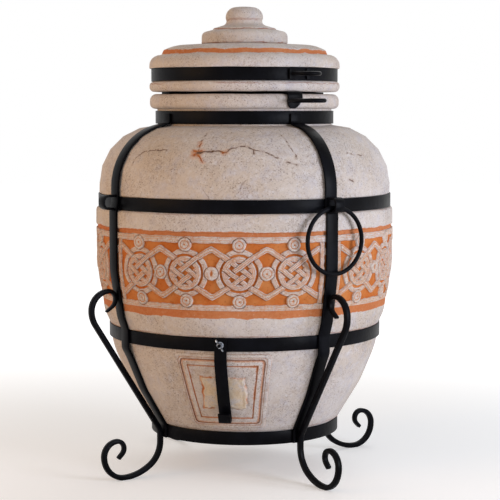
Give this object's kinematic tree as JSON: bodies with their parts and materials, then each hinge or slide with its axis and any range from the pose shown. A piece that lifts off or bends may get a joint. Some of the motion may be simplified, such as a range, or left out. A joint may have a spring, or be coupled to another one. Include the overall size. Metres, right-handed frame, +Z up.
{
  "type": "clay tandoor oven",
  "caption": "Large clay tandoor oven in a black forged frame on scrolled legs, with a lid, vent cap, skewer hanger, ash door and a carved orange frieze.",
  "frame": {"origin": "on the floor below the middle of the oven", "axes": "+Z up, -Y towards the ash door, +X to the right seen from the ash door"},
  "size_m": [0.585, 0.585, 0.9069],
  "materials": {
    "clay": "matte",
    "black_steel": "satin",
    "zinc": "bright",
    "cast_iron": "rough"
  },
  "bodies": {
    "oven": {"clay_body": "clay", "clay_shoulder": "clay", "base_band": "black_steel", "lower_band": "black_steel", "middle_band": "black_steel", "neck_band": "black_steel", "base_bar": "black_steel", "base_cross_bar": "black_steel", "door_stud": "black_steel", "rib_front_right": "black_steel", "rib_back_right": "black_steel", "rib_back_left": "black_steel", "rib_front_left": "black_steel", "leg_front_right": "black_steel", "leg_back_right": "black_steel", "leg_back_left": "black_steel", "leg_front_left": "black_steel", "ring_eye_front_right": "black_steel", "ring_eye_back_right": "black_steel", "ring_eye_back_left": "black_steel", "ring_eye_front_left": "black_steel"},
    "lid_body": {"lid": "clay", "lid_band": "black_steel", "lid_grip_right": "black_steel", "lid_grip_left": "black_steel"},
    "vent_cap_body": {"vent_cap": "clay"},
    "hanger": {"hanger_bar": "black_steel", "hanger_cross_bar": "black_steel", "hanger_hoop": "black_steel", "hanger_grip_right": "black_steel", "hanger_grip_left": "black_steel"},
    "ring_front_right": {"ring_handle_front_right": "black_steel"},
    "ring_back_left": {"ring_handle_back_left": "black_steel"},
    "door": {"ash_door": "clay"},
    "strap": {"door_strap": "black_steel"},
    "washer": {"strap_washer": "zinc"},
    "nut": {"wing_nut": "zinc"},
    "grate": {"fire_grate": "cast_iron"}
  },
  "joints": [
    {"name": "hanger_lift", "type": "slide", "parent": "oven", "child": "hanger", "axis": [0, 0, 1], "range_m": [0, 0.25]},
    {"name": "lid_lift", "type": "slide", "parent": "hanger", "child": "lid_body", "axis": [0, 0, 1], "range_m": [0, 0.3]},
    {"name": "vent_cap_lift", "type": "slide", "parent": "lid_body", "child": "vent_cap_body", "axis": [0, 0, 1], "range_m": [0, 0.15]},
    {"name": "ring_front_right_swing", "type": "hinge", "parent": "oven", "child": "ring_front_right", "pos_m": [0.20465, -0.22412, 0.5292], "axis": [-0.7385, -0.6743, 0], "range_deg": [0, 150]},
    {"name": "ring_back_left_swing", "type": "hinge", "parent": "oven", "child": "ring_back_left", "pos_m": [-0.20465, 0.22412, 0.5292], "axis": [0.7385, 0.6743, 0], "range_deg": [0, 150]},
    {"name": "ash_door_pull", "type": "slide", "parent": "oven", "child": "door", "axis": [0, -1, 0], "range_m": [0, 0.12]},
    {"name": "strap_swing", "type": "hinge", "parent": "door", "child": "strap", "pos_m": [0, -0.2708, 0.278], "axis": [0, -1, 0], "range_deg": [-35, 35]},
    {"name": "washer_slide", "type": "slide", "parent": "door", "child": "washer", "axis": [0, -1, 0], "range_m": [0, 0.004]},
    {"name": "wing_nut_turn", "type": "hinge", "parent": "washer", "child": "nut", "pos_m": [0, -0.2768, 0.278], "axis": [0, -1, 0], "range_deg": [0, 1440]},
    {"name": "grate_lift", "type": "slide", "parent": "oven", "child": "grate", "axis": [0, 0, 1], "range_m": [0, 0.45]}
  ],
  "couplings": [
    {"joint": "washer_slide", "follows": "wing_nut_turn", "m_per_rad": 0.00015915}
  ]
}
